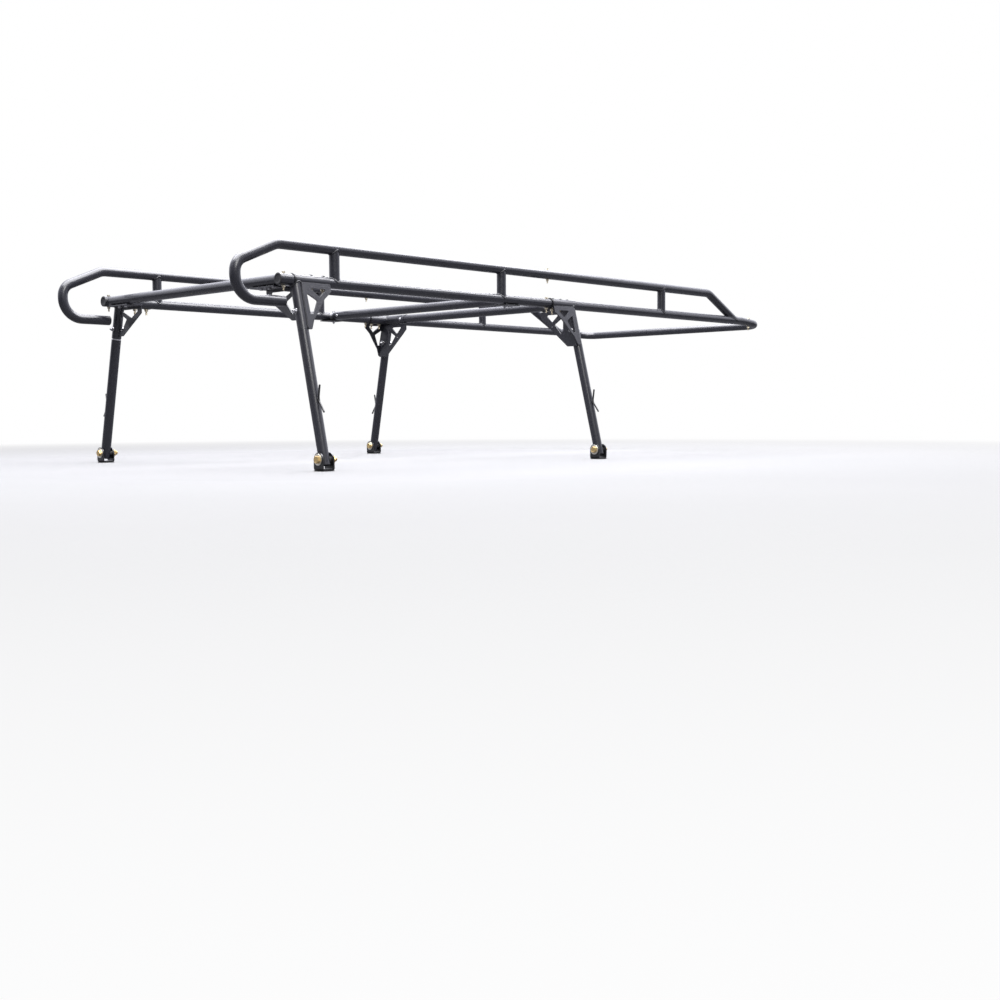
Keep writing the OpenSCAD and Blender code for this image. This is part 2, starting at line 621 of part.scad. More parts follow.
module pivot_nut_rear_right() { color(gold) foot_at(f0) pivot_nut(); }
module pivot_nut_rear_left() { color(gold) on(true) foot_at(f0) pivot_nut(); }
module pivot_nut_front_right() { color(gold) foot_at(f1) pivot_nut(); }
module pivot_nut_front_left() { color(gold) on(true) foot_at(f1) pivot_nut(); }

upper_rail_rear_right();
upper_rail_rear_left();
upper_rail_front_right();
upper_rail_front_left();
lower_rail_rear_right();
lower_rail_rear_left();
lower_rail_front_right();
lower_rail_front_left();
rail_posts_right();
rail_posts_left();
joining_sleeves_right();
joining_sleeves_left();
front_bar();
rear_crossbar();
middle_crossbar();
front_crossbar();
middle_bar_plates();
bracket_rear_right();
bracket_rear_left();
bracket_front_right();
bracket_front_left();
side_gusset_rear_right();
side_gusset_front_right();
side_gusset_front_left();
bar_gusset_rear_right();
bar_gusset_rear_left();
bar_gusset_front_right();
bar_gusset_front_left();
leg_rear_right();
leg_rear_left();
leg_front_right();
leg_front_left();
leg_sleeves();
leg_bolts();
leg_pivot_bushes();
rope_cleats();
seam_rings();
tube_end_caps();
saddle_bolts();
splice_bolts();
crossbar_bolts();
foot_rear_right();
foot_rear_left();
foot_front_right();
foot_front_left();
foot_pad_rear_right();
foot_pad_rear_left();
foot_pad_front_right();
foot_pad_front_left();
pivot_bolt_rear_right();
pivot_bolt_rear_left();
pivot_bolt_front_right();
pivot_bolt_front_left();
pivot_nut_rear_right();
pivot_nut_rear_left();
pivot_nut_front_right();
pivot_nut_front_left();
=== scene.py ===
import bpy, bmesh, math
from mathutils import Vector, Matrix


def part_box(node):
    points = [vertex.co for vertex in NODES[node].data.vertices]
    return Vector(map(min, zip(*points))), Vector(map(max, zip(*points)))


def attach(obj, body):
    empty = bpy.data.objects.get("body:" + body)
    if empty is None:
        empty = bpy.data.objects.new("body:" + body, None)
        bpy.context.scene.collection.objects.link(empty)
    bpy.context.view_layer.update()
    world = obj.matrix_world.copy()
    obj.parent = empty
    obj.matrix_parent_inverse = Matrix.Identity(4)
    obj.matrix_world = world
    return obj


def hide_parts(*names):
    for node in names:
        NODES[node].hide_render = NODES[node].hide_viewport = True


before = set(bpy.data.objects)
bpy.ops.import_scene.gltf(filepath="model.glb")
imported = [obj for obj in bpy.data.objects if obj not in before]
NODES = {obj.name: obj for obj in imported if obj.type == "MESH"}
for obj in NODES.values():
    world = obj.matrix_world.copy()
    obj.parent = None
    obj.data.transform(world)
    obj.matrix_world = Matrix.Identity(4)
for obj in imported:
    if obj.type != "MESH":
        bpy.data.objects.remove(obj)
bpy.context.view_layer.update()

SCENE = bpy.context.scene

# ------------------------------------------------------------------ sizes, in metres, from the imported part
LO = {n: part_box(n) for n in NODES}
foot_r = LO["foot_rear_right"]
FX = (foot_r[0].x + foot_r[1].x) / 2
F0 = (foot_r[0].y + foot_r[1].y) / 2
foot_f = LO["foot_front_right"]
F1 = (foot_f[0].y + foot_f[1].y) / 2
FL = foot_r[1].y - foot_r[0].y
PZ = foot_r[1].z - (foot_r[1].x - foot_r[0].x) / 2
bar = LO["lower_rail_front_right"]
RH = (bar[0].x + bar[1].x) / 2
RZ = (bar[0].z + bar[1].z) / 2
TR = (bar[1].x - bar[0].x) / 2
Y0 = F0
Y1 = Y0 + 1.700
GH = (LO["upper_rail_front_right"][1].z - TR) - RZ
SR = 0.0248
ST = SR - 0.0007
SEAM_L, SEAM_U, SEAM_F = 1.552, 1.584, 3.248
BAR_A, BAR_B, BAR_C = -0.058, 1.265, 0.016
DROOP = math.radians(4.3)
LEAN = math.atan((FX - RH) / (RZ - PZ))
RAKE = math.atan((F1 - Y1) / (RZ - PZ))


# ------------------------------------------------------------------ materials
class Graph:
    def __init__(self, name):
        self.m = bpy.data.materials.new(name)
        self.m.use_nodes = True
        self.t = self.m.node_tree
        self.t.nodes.clear()
        self.out = self.n("ShaderNodeOutputMaterial")
        self.p = self.n("ShaderNodeBsdfPrincipled")
        self.l(self.p.outputs[0], self.out.inputs[0])
        self.tc = self.n("ShaderNodeTexCoord")

    def n(self, kind, **kw):
        node = self.t.nodes.new(kind)
        for k, v in kw.items():
            setattr(node, k, v)
        return node

    def l(self, a, b):
        self.t.links.new(a, b)

    def noise(self, scale, detail=2.0, rough=0.5, lac=2.0):
        x = self.n("ShaderNodeTexNoise")
        x.inputs["Scale"].default_value = scale
        x.inputs["Detail"].default_value = detail
        x.inputs["Roughness"].default_value = rough
        x.inputs["Lacunarity"].default_value = lac
        self.l(self.tc.outputs["Object"], x.inputs["Vector"])
        return x.outputs["Fac"]

    def voronoi(self, scale):
        x = self.n("ShaderNodeTexVoronoi")
        x.inputs["Scale"].default_value = scale
        self.l(self.tc.outputs["Object"], x.inputs["Vector"])
        return x.outputs["Distance"]

    def rng(self, v, a, b, c, d):
        x = self.n("ShaderNodeMapRange")
        for i, q in enumerate((a, b, c, d)):
            x.inputs[i + 1].default_value = q
        self.l(v, x.inputs[0])
        return x.outputs[0]

    def mix(self, f, a, b):
        x = self.n("ShaderNodeMix", data_type="RGBA")
        for sock, q in ((x.inputs[0], f), (x.inputs[6], a), (x.inputs[7], b)):
            if isinstance(q, (tuple, list)):
                sock.default_value = (*q[:3], 1.0)
            elif isinstance(q, (int, float)):
                sock.default_value = q
            else:
                self.l(q, sock)
        return x.outputs[2]

    def math(self, op, a, b=None, clamp=False):
        x = self.n("ShaderNodeMath", operation=op, use_clamp=clamp)
        for i, q in enumerate((a, b)):
            if q is None:
                continue
            if isinstance(q, (int, float)):
                x.inputs[i].default_value = q
            else:
                self.l(q, x.inputs[i])
        return x.outputs[0]

    def bump(self, h, strength, distance, normal=None):
        x = self.n("ShaderNodeBump")
        x.inputs["Strength"].default_value = strength
        x.inputs["Distance"].default_value = distance
        self.l(h, x.inputs["Height"])
        if normal is not None:
            self.l(normal, x.inputs["Normal"])
        return x.outputs[0]

    def set(self, name, v):
        s = self.p.inputs[name]
        if isinstance(v, (tuple, list)):
            s.default_value = (*v[:3], 1.0)
        elif isinstance(v, (int, float)):
            s.default_value = v
        else:
            self.l(v, s)


# Painted highlight: upward-facing surfaces, in blotches, mixed toward light grey and made rougher, standing in for
# overhead light on the tops.
def painted_top_light_mask(g, amount):
    geo = g.n("ShaderNodeNewGeometry")
    sep = g.n("ShaderNodeSeparateXYZ")
    g.l(geo.outputs["Normal"], sep.inputs[0])
    up = g.rng(sep.outputs[2], 0.45, 1.0, 0.0, 1.0)
    blotch = g.rng(g.noise(22.0, 5.0, 0.65), 0.38, 0.72, 0.25, 1.0)
    return g.math("MULTIPLY", g.math("MULTIPLY", up, blotch), amount, True)


def edge_mask(g, radius, lo=0.02, hi=0.22):
    bev = g.n("ShaderNodeBevel", samples=4)
    bev.inputs["Radius"].default_value = radius
    geo = g.n("ShaderNodeNewGeometry")
    dot = g.n("ShaderNodeVectorMath", operation="DOT_PRODUCT")
    g.l(bev.outputs[0], dot.inputs[0])
    g.l(geo.outputs["Normal"], dot.inputs[1])
    inv = g.math("SUBTRACT", 1.0, dot.outputs["Value"], True)
    return g.rng(inv, lo, hi, 0.0, 1.0), bev.outputs[0]


def powder(name, base, rough=0.36, peel=0.5, painted_top_light=0.35, edges=False, chips=0.0):
    """Powder coat: orange-peel skin, slow tone changes, fine fleck, painted highlight that lightens and roughens the
    tops, worn edges.
    """
    g = Graph(name)
    slow = g.rng(g.noise(5.5, 3.0), 0.3, 0.7, 0.0, 1.0)
    col = g.mix(slow, tuple(c * 0.86 for c in base), tuple(c * 1.16 for c in base))
    fleck = g.rng(g.noise(2600.0, 1.0), 0.60, 0.74, 0.0, 0.35)
    col = g.mix(fleck, col, tuple(min(1, c * 2.6 + 0.01) for c in base))
    rub = g.rng(g.noise(60.0, 6.0, 0.7), 0.58, 0.74, 0.0, 0.5)
    col = g.mix(rub, col, tuple(c * 1.5 + 0.004 for c in base))
    # painted highlight: the tops lightened toward grey here and made rougher just below
    d = painted_top_light_mask(g, painted_top_light)
    col = g.mix(g.math("MULTIPLY", d, 0.35), col, (0.23, 0.23, 0.245))
    r = g.rng(g.noise(42.0, 4.0, 0.6), 0.3, 0.7, rough - 0.055, rough + 0.07)
    r = g.math("ADD", r, g.math("MULTIPLY", d, 0.14), True)
    normal = None
    if edges:
        e, normal = edge_mask(g, 0.0011)
        chip = g.math("MULTIPLY", e, g.rng(g.noise(210.0, 4.0, 0.7), 0.50, 0.60, 0.25, 1.0))
        col = g.mix(g.math("MULTIPLY", chip, 0.30 + chips), col, (0.16, 0.16, 0.17))
    peel_h = g.noise(950.0, 1.5)
    fine = g.noise(3800.0, 1.0)
    n1 = g.bump(peel_h, peel, 0.00022, normal)
    n2 = g.bump(fine, 0.22, 0.00005, n1)
    g.set("Base Color", col)
    g.set("Roughness", r)
    g.set("Normal", n2)
    g.set("Specular IOR Level", 0.5)
    g.set("Coat Weight", 0.45)
    g.set("Coat Roughness", 0.20)
    return g.m


def plated(name, base, tint_a, tint_b, rough=0.30, stain=0.3):
    """Zinc plating: metal with a slow rainbow shift, fine brushed grain, dull stains and a painted highlight on
    every edge.
    """
    g = Graph(name)
    slow = g.rng(g.noise(120.0, 2.0), 0.32, 0.68, 0.0, 1.0)
    col = g.mix(slow, tint_a, tint_b)
    col = g.mix(0.55, col, base)
    dull = g.rng(g.noise(420.0, 4.0, 0.65), 0.52, 0.70, 0.0, stain)
    col = g.mix(dull, col, tuple(c * 0.45 for c in base))
    e, normal = edge_mask(g, 0.0004)
    # painted highlight: every edge mixed toward near-white
    col = g.mix(g.math("MULTIPLY", e, 0.35), col, (0.85, 0.84, 0.80))
    g.set("Metallic", 1.0)
    g.set("Base Color", col)
    g.set("Roughness", g.rng(g.noise(800.0, 3.0), 0.3, 0.7, rough - 0.07, rough + 0.12))
    g.set("Normal", g.bump(g.noise(2600.0, 2.0), 0.25, 0.00006, normal))
    return g.m


def rubber(name):
    g = Graph(name)
    col = g.mix(g.rng(g.noise(70.0, 4.0), 0.35, 0.7, 0.0, 1.0), (0.014, 0.014, 0.015), (0.032, 0.031, 0.030))
    g.set("Base Color", col)
    g.set("Roughness", g.rng(g.noise(300.0, 3.0), 0.3, 0.7, 0.62, 0.86))
    g.set("Normal", g.bump(g.voronoi(700.0), 0.35, 0.0003))
    return g.m


def plastic(name, base=(0.012, 0.012, 0.013), rough=0.46):
    g = Graph(name)
    col = g.mix(g.rng(g.noise(45.0, 3.0), 0.3, 0.7, 0.0, 1.0), base, tuple(c * 1.9 for c in base))
    g.set("Base Color", col)
    g.set("Roughness", g.rng(g.noise(240.0, 3.0), 0.3, 0.7, rough - 0.06, rough + 0.1))
    g.set("Normal", g.bump(g.noise(1700.0, 2.0), 0.3, 0.00012))
    return g.m


COAT = powder("coat_tube", (0.0135, 0.0138, 0.0190), rough=0.30)
COAT_B = powder("coat_bracket", (0.0150, 0.0153, 0.0205), rough=0.38, edges=True)
COAT_W = powder("coat_weld", (0.0120, 0.0123, 0.0165), rough=0.30, peel=0.9, painted_top_light=0.5)
BLACK = powder("coat_black", (0.0065, 0.0065, 0.0072), rough=0.30, painted_top_light=0.3, edges=True, chips=0.2)
GOLD = plated("zinc_yellow", (0.80, 0.56, 0.24), (0.90, 0.66, 0.30), (0.74, 0.60, 0.34), rough=0.27, stain=0.25)
GOLD_DULL = plated("zinc_yellow_thread", (0.62, 0.44, 0.20), (0.70, 0.52, 0.26), (0.55, 0.46, 0.28), rough=0.38, stain=0.5)
PALE = plated("zinc_yellow_pale", (0.82, 0.74, 0.56), (0.88, 0.80, 0.62), (0.80, 0.74, 0.62), rough=0.27, stain=0.25)
PALE_DULL = plated("zinc_yellow_pale_thread", (0.66, 0.58, 0.42), (0.72, 0.64, 0.48), (0.60, 0.55, 0.45), rough=0.36, stain=0.4)
RIM = plated("zinc_cream", (0.90, 0.86, 0.74), (0.94, 0.90, 0.80), (0.88, 0.86, 0.80), rough=0.30, stain=0.15)
ZINC = plated("zinc_clear", (0.66, 0.66, 0.67), (0.74, 0.75, 0.79), (0.68, 0.66, 0.62), rough=0.27, stain=0.25)
RUBBER = rubber("pad_rubber")
PLASTIC = plastic("cap_plastic")
RING = plastic("ring_black", (0.006, 0.006, 0.0065), 0.34)

for name, node in NODES.items():
    if name.startswith("foot_pad"):
        m = RUBBER
    elif name.startswith("foot_") or name in ("middle_bar_plates", "rope_cleats"):
        m = BLACK
    elif name.startswith("bracket") or "gusset" in name:
        m = COAT_B
    elif name in ("seam_rings",):
        m = RING
    elif name in ("tube_end_caps",):
        m = PLASTIC
    elif name.startswith("joining") or name in ("leg_sleeves", "leg_pivot_bushes", "leg_bolts", "crossbar_bolts"):
        m = ZINC
    elif name.startswith("pivot_") or name in ("saddle_bolts", "splice_bolts"):
        m = GOLD
    else:
        m = COAT
    node.data.materials.clear()
    node.data.materials.append(m)


# ------------------------------------------------------------------ mesh helpers
class Mesh:
    """Collects shapes for one piece, then becomes one object with smooth faces and sharp corners."""

    def __init__(self):
        self.v, self.f = [], []

    def add(self, verts, faces, M=None):
        k = len(self.v)
        self.v += [tuple(M @ Vector(p)) if M is not None else tuple(p) for p in verts]
        flip = M is not None and M.to_3x3().determinant() < 0
        self.f += [tuple(k + i for i in (reversed(q) if flip else q)) for q in faces]

    def build(self, name, material, body, slot=None, replaces=(), angle=32.0):
        me = bpy.data.meshes.new(name)
        me.from_pydata(self.v, [], self.f)
        me.validate()
        bm = bmesh.new()
        bm.from_mesh(me)
        bmesh.ops.remove_doubles(bm, verts=bm.verts, dist=1e-7)
        bmesh.ops.recalc_face_normals(bm, faces=bm.faces)
        lim = math.radians(angle)
        for e in bm.edges:
            e.smooth = not (len(e.link_faces) == 2 and e.calc_face_angle(0.0) > lim)
        for f in bm.faces:
            f.smooth = True
        bm.to_mesh(me)
        bm.free()
        me.materials.append(material)
        o = bpy.data.objects.new(name, me)
        SCENE.collection.objects.link(o)
        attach(o, body)
        if replaces:
            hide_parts(*replaces)
        return o


def revolve(mesh, profile, M, n=40, closed=False):
    """Turns (r, z) points about local Z."""
    verts, faces = [], []
    m = len(profile)
    for i in range(n):
        a = 2 * math.pi * i / n
        for r, z in profile:
            verts.append((r * math.cos(a), r * math.sin(a), z))
    last = m if closed else m - 1
    for i in range(n):
        j = (i + 1) % n
        for k in range(last):
            q = (k + 1) % m
            faces.append((i * m + k, j * m + k, j * m + q, i * m + q))
    mesh.add(verts, faces, M)


def hexa(mesh, af, h, M, bore=0.0, both=False, n=72, mark=False):
    """Hex head or nut from z = 0 to h, corners cut back by a 30 degree cone as real ones are."""
    rc = af / 2 * 0.955
    t = math.tan(math.radians(28))
    verts, faces = [], []
    rings = []
    for i in range(n):
        a = 2 * math.pi * i / n
        b = (a + math.pi / 6) % (math.pi / 3) - math.pi / 6
        rh = af / 2 / math.cos(b)
        cut = max(0.0, (rh - rc) * t)
        col = []
        c, s = math.cos(a), math.sin(a)
        if bore:
            col.append((bore * c, bore * s, 0.0003))
        if both:
            col.append((rc * c, rc * s, 0.0))
            col.append((rh * c, rh * s, cut))
        else:
            col.append((rh * c, rh * s, 0.0))
        col.append((rh * c, rh * s, h - cut))
        col.append((rc * c, rc * s, h))
        if bore:
            col.append(((bore + 0.0006) * c, (bore + 0.0006) * s, h))
            col.append((bore * c, bore * s, h - 0.0006))
        else:
            rr = rc * 0.9
            col.append((rr * c, rr * s, h))
            col.append((rr * 0.97 * c, rr * 0.97 * s, h - 0.00035))
        rings.append(col)
    m = len(rings[0])
    for col in rings:
        verts += col
    for i in range(n):
        j = (i + 1) % n
        for k in range(m - 1):
            faces.append((i * m + k, j * m + k, j * m + k + 1, i * m + k + 1))
        if bore:
            faces.append((i * m + m - 1, j * m + m - 1, j * m, i * m))
    if not bore:
        base = len(verts)
        verts.append((0, 0, 0.0))
        verts.append((0, 0, h - 0.00035))
        for i in range(n):
            j = (i + 1) % n
            faces.append((i * m, base, j * m))
            faces.append((i * m + m - 1, j * m + m - 1, base + 1))
    mesh.add(verts, faces, M)


def thread(mesh, r, z0, z1, pitch, M, n=24, per=6):
    """Threaded shank: one ridge winds round from z0 to z1, with a chamfered end at z1."""
    depth = pitch * 0.48
    steps = max(6, int(abs(z1 - z0) / pitch * per))
    verts, faces = [], []
    for k in range(steps + 1):
        z = z0 + (z1 - z0) * k / steps
        left = abs(z1 - z)
        for i in range(n):
            a = i / n
            ph = (z / pitch - a) % 1.0
            rr = r - depth * abs(2 * ph - 1)
            rr = min(rr, r - max(0.0, 0.0012 - left) * 0.9)
            verts.append((rr * math.cos(2 * math.pi * a), rr * math.sin(2 * math.pi * a), z))
    for k in range(steps):
        for i in range(n):
            j = (i + 1) % n
            faces.append((k * n + i, k * n + j, (k + 1) * n + j, (k + 1) * n + i))
    faces.append(tuple(range(n)))
    faces.append(tuple(steps * n + i for i in reversed(range(n))))
    mesh.add(verts, faces, M)


def shank(mesh, r, z0, z1, M):
    revolve(mesh, [(0.0, z0), (r, z0), (r, z1), (0.0, z1)], M, 28)


def washer(mesh, ri, ro, t, M):
    """Washer from z = 0 to t with rolled rims."""
    c = min(0.0005, t * 0.3)
    revolve(mesh, [(ri, c), (ri + c, 0), (ro - c, 0), (ro, c), (ro, t - c), (ro - c, t), (ri + c, t), (ri, t - c)], M, 44, True)


def sweep(mesh, pts, radii, n=10, closed=True, ups=None):
    """A round bead along points, its radius changing from point to point."""
    m = len(pts)
    verts, faces = [], []
    prev = None
    for i in range(m):
        a = pts[(i - 1) % m] if closed or i > 0 else pts[i]
        b = pts[(i + 1) % m] if closed or i < m - 1 else pts[i]
        t = (b - a).normalized()
        if ups is not None:
            u = ups[i] - t * ups[i].dot(t)
        else:
            u = prev if prev is not None else (Vector((0, 0, 1)) if abs(t.z) < 0.9 else Vector((1, 0, 0)))
            u = u - t * u.dot(t)
        u.normalize()
        prev = u
        w = t.cross(u)
        for k in range(n):
            q = 2 * math.pi * k / n
            verts.append(tuple(pts[i] + (u * math.cos(q) + w * math.sin(q)) * radii[i]))
    for i in range(m if closed else m - 1):
        j = (i + 1) % m
        for k in range(n):
            l = (k + 1) % n
            faces.append((i * n + k, i * n + l, j * n + l, j * n + k))
    if not closed:
        faces.append(tuple(reversed(range(n))))
        faces.append(tuple((m - 1) * n + k for k in range(n)))
    mesh.add(verts, faces)


MIR = Matrix.Scale(-1, 4, (1, 0, 0))


def ripple(pts, r, pitch=0.0034):
    """Radii that swell once per weld ripple along the length of the points."""
    s, out = 0.0, []
    for i, p in enumerate(pts):
        if i:
            s += (p - pts[i - 1]).length
        ph = (s / pitch) % 1.0
        out.append(r * (0.90 + 0.20 * (1 - (2 * ph - 1) ** 2) + 0.05 * math.sin(s * 310.0)))
    return out


def both(points):
    return points, [Vector((-p.x, p.y, p.z)) for p in points]


def weld_ring(mesh, o, d, r, c, R, bead=0.0030, start=0.0, end=2 * math.pi, n=150, sides=(0, 1)):
    """Bead where a tube of radius r, from point o along unit direction d, meets a cylinder of radius R
    whose axis passes through c along Y. Mirrored to both sides."""
    d = d.normalized()
    u = Vector((0, 1, 0)) - d * d.y
    if u.length < 1e-6:
        u = Vector((1, 0, 0))
    u.normalize()
    w = d.cross(u)
    pts = []
    for i in range(n):
        a = start + (end - start) * i / (n if end - start > 6.28 else n - 1)
        p = o + (u * math.cos(a) + w * math.sin(a)) * r
        x, z = p.x - c.x, p.z - c.z
        A = d.x * d.x + d.z * d.z
        B = 2 * (x * d.x + z * d.z)
        C = x * x + z * z - R * R
        disc = max(0.0, B * B - 4 * A * C)
        t = (-B + math.sqrt(disc)) / (2 * A)
        q = p + d * t
        out = (u * math.cos(a) + w * math.sin(a)) * 0.0004
        pts.append(q + out)
    closed = end - start > 6.28
    for side, line in enumerate(both(pts)):
        if side in sides:
            sweep(mesh, line, ripple(line, bead), 9, closed)


def weld_line(mesh, a, b, bead=0.0026, sides=(0, 1), wob=0.0003):
    n = max(8, int((b - a).length / 0.0007))
    pts = []
    for i in range(n + 1):
        t = i / n
        p = a.lerp(b, t)
        p = p + Vector((math.sin(t * 41.0), math.sin(t * 33.0 + 1.0), math.sin(t * 27.0 + 2.0))) * wob
        pts.append(p)
    for side, line in enumerate(both(pts)):
        if side in sides:
            r = ripple(line, bead)
            for k in range(4):
                r[k] *= 0.35 + 0.16 * k
                r[-1 - k] *= 0.35 + 0.16 * k
            sweep(mesh, line, r, 8, False)


def T(x, y, z):
    return Matrix.Translation((x, y, z))


def RX(a):
    return Matrix.Rotation(a, 4, "X")


def RY(a):
    return Matrix.Rotation(a, 4, "Y")


def RZm(a):
    return Matrix.Rotation(a, 4, "Z")


def leg_frame(front):
    return T(RH, Y1 if front else Y0, RZ) @ RX(RAKE if front else 0.0) @ RY(-LEAN)


# ------------------------------------------------------------------ welds
w = Mesh()
for y in (0.202, 1.204, 2.465):
    c = Vector((RH, Y0 + y, RZ))
    weld_ring(w, c, Vector((0, 0, 1)), TR - 0.00025, c, TR)
    c2 = Vector((RH, Y0 + y, RZ + GH))
    weld_ring(w, c2, Vector((0, 0, -1)), TR - 0.00025, c2, TR)
for front in (False, True):
    M = leg_frame(front)
    o = M @ Vector((0, 0, 0))
    d = (M.to_3x3() @ Vector((0, 0, -1))).normalized()
    weld_ring(w, o, d, TR, Vector((RH, 0, RZ)), SR, bead=0.0034)
# crossbar ends on the T-stubs, front crossbar arm on the saddle
weld_ring(w, Vector((RH, Y0 + BAR_A, RZ)), Vector((-1, 0, 0)), TR, Vector((RH, 0, RZ)), ST, bead=0.0032)
weld_ring(w, Vector((RH, Y1 - BAR_C, RZ)), Vector((-1, 0, 0)), SR, Vector((RH, 0, RZ)), SR, bead=0.0030)
# sloping nose of the upper rail on the lower rail
na = math.radians(27)
nose_hit = SEAM_F - 0.065
c = Vector((RH, 0, RZ))
nd = Vector((0, -math.cos(na), math.sin(na)))
weld_ring(w, Vector((RH, Y0 + nose_hit, RZ)), nd, TR, c, TR, bead=0.0030, n=240)
w.build("weld_beads_rails", COAT_W, "rack", "tube_coat")

g = Mesh()
for front in (False, True):
    M = leg_frame(front)
    s = -1 if front else 1
    # side gusset: along the leg, and along the saddle; there is none at the rear left
    x = 0.0206
    where = (0, 1) if front else (0,)
    p = M @ Vector((x + 0.0006, s * 0.0085, -0.034))
    q = M @ Vector((x + 0.0006, s * 0.0085, -0.203))
    weld_line(g, p, q, 0.0026, where)
    p = M @ Vector((x - 0.0002, s * 0.030, -0.0165))
    q = M @ Vector((x - 0.0002, s * 0.148, -0.0165))
    weld_line(g, p, q, 0.0028, where)
    # crossbar gusset: along the leg at the rear, along the crossbar arm at the front
    if front:
        yy = Y1 - TR - 0.0031
        weld_line(g, Vector((RH - 0.036, yy + 0.001, RZ - SR - 0.0004)), Vector((RH - 0.158, yy + 0.001, RZ - SR - 0.0004)), 0.0030)
    else:
        for k in (-1, 1):
            p = M @ Vector((-TR + 0.0002, k * 0.0036, -0.034))
            q = M @ Vector((-TR + 0.0002, k * 0.0036, -0.156))
            weld_line(g, p, q, 0.0025)
        for k in (-1, 1):
            z = RZ - TR - 0.0066
            weld_line(g, Vector((RH - 0.038, Y0 + k * 0.0036, z)), Vector((RH - 0.182, Y0 + k * 0.0036, z)), 0.0023)
g.build("weld_beads_gussets", COAT_W, "rack", "bracket_coat")

# cleat welds: a short bead each side of the rod where it touches the leg
cl = Mesh()
for side in (0, 1):
    for front in (False, True):
        z = 0.268 if (side == 1 and not front) else 0.277
        M = leg_frame(front)
        sdist = (RZ - z) / math.cos(LEAN)
        for k in (-1, 1):
            a = M @ Vector((TR + 0.0012, k * 0.0040, -sdist + 0.009))
            b = M @ Vector((TR + 0.0012, k * 0.0040, -sdist - 0.009))
            weld_line(cl, a, b, 0.0024, sides=(side,))
cl.build("weld_beads_cleats", BLACK, "rack", "black_steel")


# ------------------------------------------------------------------ bolts
def dome(mesh, d, M):
    """Low round head with a rolled rim, its under-face at z = 0."""
    r = 0.0100 * d / 0.010
    h = 0.0036 * d / 0.010
    prof = [(0.0, h)]
    for k in range(1, 9):
        q = k / 8
        prof.append((r * math.sin(q * math.pi / 2) * 0.985, h * (0.24 + 0.76 * math.cos(q * math.pi / 2) ** 1.2)))
    prof += [(r, h * 0.20), (r, 0.0003), (r - 0.0003, 0.0), (0.0, 0.0)]
    revolve(mesh, prof, M, 44)


def nut_set(nm, tm, d, af, nh, wo, wt, M, tail, pitch):
    """Washer, nut and the bolt's threaded tail, going down from z = 0."""
    F = M @ Matrix.Scale(-1, 4, (0, 0, 1))
    washer(nm, d / 2 + 0.0002, wo / 2, wt, F)
    hexa(nm, af, nh, F @ T(0, 0, wt + 0.0001), bore=d / 2 - 0.0006, both=True)
    thread(tm, d / 2 - 0.0001, 0.0, tail, pitch, F)


def build_pairs(name, material, tail_material, slot, node, items):
    nm, tm = Mesh(), Mesh()
    for fn in items:
        fn(nm, tm)
    nm.build(name, material, "rack", slot, (node,), 28)
    tm.build(name + "_threads", tail_material, "rack", slot, (), 60)


domes = Mesh()
items = []
for side in (0, 1):
    S = MIR if side else Matrix.Identity(4)
    for y in (Y0 + 0.078, Y0 + 0.140, Y1 - 0.078, Y1 - 0.134):
        def f(nm, tm, S=S, y=y):
            dome(domes, 0.010, S @ T(RH, y, RZ + SR + 0.0001))
            nut_set(nm, tm, 0.010, 0.017, 0.008, 0.022, 0.002, S @ T(RH, y, RZ - SR - 0.0001), 0.0275, 0.0015)
        items.append(f)
build_pairs("saddle_bolts_detail", PALE, PALE_DULL, "yellow_zinc", "saddle_bolts", items)
domes.build("saddle_bolt_heads", BLACK, "rack", "black_steel", (), 40)


def hexpair(nm, tm, M, r, length):
    washer(nm, 0.0042, 0.0085, 0.0016, M @ T(0, 0, r + 0.0001))
    hexa(nm, 0.013, 0.0053, M @ T(0, 0, r + 0.0018))
    tail = length - 2 * r - 0.0018 - 0.0002
    nut_set(nm, tm, 0.008, 0.013, 0.0068, 0.017, 0.0016, M @ T(0, 0, -r - 0.0001), tail, 0.00125)


items = []
for side in (0, 1):
    S = MIR if side else Matrix.Identity(4)
    for M, r, ln in (
        (T(RH, Y0 + BAR_A, RZ), ST, 0.072),
        (T(RH, Y0 + SEAM_L - 0.029, RZ), TR, 0.070),
        (T(RH, Y0 + SEAM_U - 0.053, RZ + GH), TR, 0.066),
        (T(RH, Y0 + SEAM_F, RZ) @ RX(-DROOP) @ T(0, 0.084, 0), TR, 0.068),
    ):
        def f(nm, tm, M=S @ M, r=r, ln=ln):
            hexpair(nm, tm, M, r, ln)
        items.append(f)
build_pairs("splice_bolts_detail", PALE, PALE_DULL, "yellow_zinc", "splice_bolts", items)

